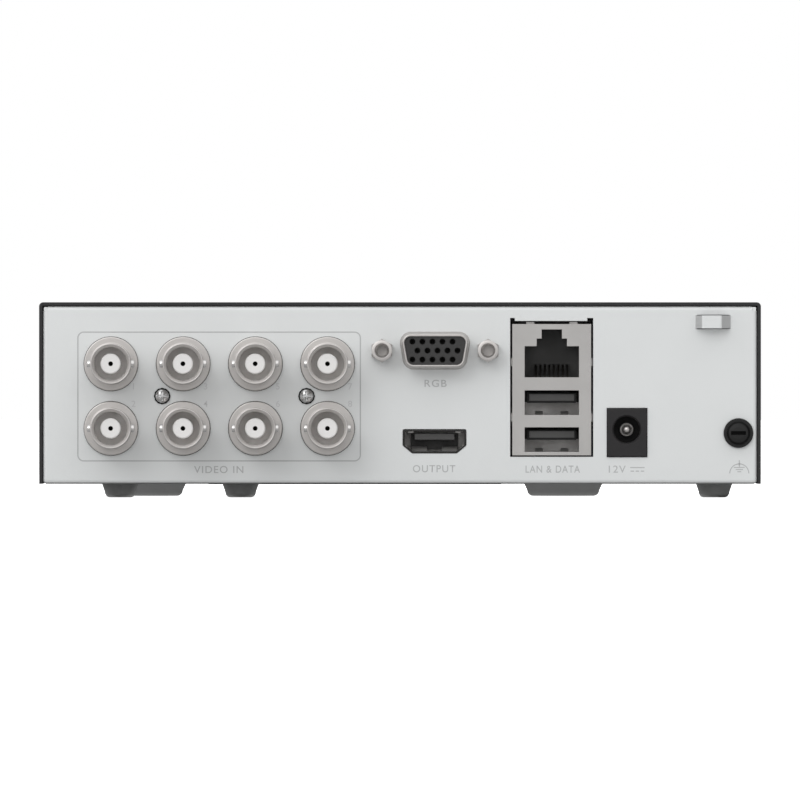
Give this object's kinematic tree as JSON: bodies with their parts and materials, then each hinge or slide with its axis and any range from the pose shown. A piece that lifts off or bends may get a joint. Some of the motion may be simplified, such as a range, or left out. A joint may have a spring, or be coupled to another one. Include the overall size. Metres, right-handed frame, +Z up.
{
  "type": "digital video recorder",
  "caption": "Compact desktop video recorder: folded metal case, bayonet video inputs and monitor, video, network, data and power sockets on its rear wall, lift-off cover, disk inside.",
  "frame": {"origin": "middle of the bounding box at the level of the surface the feet stand on", "axes": "+Z up, +Y towards the rear panel with the sockets, +X to the left when the rear panel is looked at"},
  "size_m": [0.17, 0.197, 0.046],
  "materials": {
    "panel_grey": "pale grey powder coat, satin",
    "cover_black": "black powder coat, fine texture",
    "bezel_black": "black moulded plastic, satin",
    "lens_smoke": "smoked translucent plastic",
    "nickel": "nickel plate, satin",
    "tin_shield": "tinned steel sheet, dull",
    "zinc_steel": "zinc plate, bright",
    "black_steel": "black oxide, slightly oily",
    "insulator_white": "white fluoropolymer, waxy",
    "moulding_black": "black glass-filled nylon",
    "moulding_grey": "dark grey glass-filled nylon",
    "contact_gold": "gold flash over brass",
    "foot_rubber": "dark grey rubber, matt",
    "board_green": "green solder mask",
    "chip_black": "epoxy",
    "capacitor_sleeve": "dark shrink sleeve",
    "sink_aluminium": "black anodised",
    "cast_aluminium": "as cast",
    "disk_steel": "brushed",
    "platter_mirror": "polished",
    "cable_grey": "grey PVC"
  },
  "bodies": {
    "base": {"board_capacitors": "capacitor_sleeve", "board_chips": "chip_black", "cell_holder": "moulding_black", "chassis": "panel_grey", "coin_cell": "zinc_steel", "cover_screws": "zinc_steel", "data_port_contacts": "contact_gold", "data_port_liners": "tin_shield", "data_port_lower": "moulding_grey", "data_port_upper": "moulding_grey", "disk_board": "board_green", "disk_casting": "cast_aluminium", "disk_connector": "moulding_black", "disk_lid": "disk_steel", "disk_screws": "zinc_steel", "front_bezel": "bezel_black", "front_foot_left": "foot_rubber", "front_foot_right": "foot_rubber", "heat_sink": "sink_aluminium", "housing_screws": "zinc_steel", "indicator_board": "board_green", "indicator_cable": "cable_grey", "indicator_lens": "lens_smoke", "jackscrews": "nickel", "mainboard": "board_green", "mainboard_screws": "zinc_steel", "monitor_socket_contacts": "contact_gold", "monitor_socket_housing": "moulding_black", "monitor_socket_insert": "moulding_black", "monitor_socket_shell": "nickel", "network_contacts": "contact_gold", "network_insert": "moulding_black", "port_tower_shield": "tin_shield", "power_inlet_body": "moulding_black", "power_inlet_pin": "nickel", "rear_foot_left": "foot_rubber", "rear_foot_middle": "foot_rubber", "rear_foot_right": "foot_rubber", "video_in_contacts": "contact_gold", "video_in_housing_1": "moulding_black", "video_in_housing_2": "moulding_black", "video_in_insulators": "insulator_white", "video_in_shell_1": "nickel", "video_in_shell_2": "nickel", "video_in_shell_3": "nickel", "video_in_shell_4": "nickel", "video_in_shell_5": "nickel", "video_in_shell_6": "nickel", "video_in_shell_7": "nickel", "video_in_shell_8": "nickel", "video_out_contacts": "contact_gold", "video_out_shell": "tin_shield", "video_out_tongue": "moulding_grey"},
    "cover": {"top_cover": "cover_black"},
    "ground_washer_body": {"ground_washer": "black_steel"},
    "ground_screw_body": {"ground_screw": "black_steel"},
    "platter_stack": {"disk_platters": "platter_mirror"},
    "disk_arm": {"disk_actuator": "cast_aluminium"}
  },
  "joints": [
    {"name": "cover_lift", "type": "slide", "parent": "base", "child": "cover", "axis": [0, 0, 1], "range_m": [0, 0.06]},
    {"name": "ground_washer_travel", "type": "slide", "parent": "base", "child": "ground_washer_body", "axis": [0, 1, 0], "range_m": [0, 0.002]},
    {"name": "ground_screw_turn", "type": "hinge", "parent": "ground_washer_body", "child": "ground_screw_body", "pos_m": [-0.0797, 0.0865, 0.0152], "axis": [0, 1, 0], "range_deg": [0, 1440]},
    {"name": "platter_spin", "type": "hinge", "parent": "base", "child": "platter_stack", "pos_m": [0.01075, -0.042, 0.0086], "axis": [0, 0, 1], "continuous": true},
    {"name": "actuator_swing", "type": "hinge", "parent": "base", "child": "disk_arm", "pos_m": [0.03575, -0.004, 0.0086], "axis": [0, 0, 1], "range_deg": [-9, 20]}
  ],
  "couplings": [
    {"joint": "ground_screw_turn", "follows": "ground_washer_travel", "rad_per_m": 12566}
  ]
}
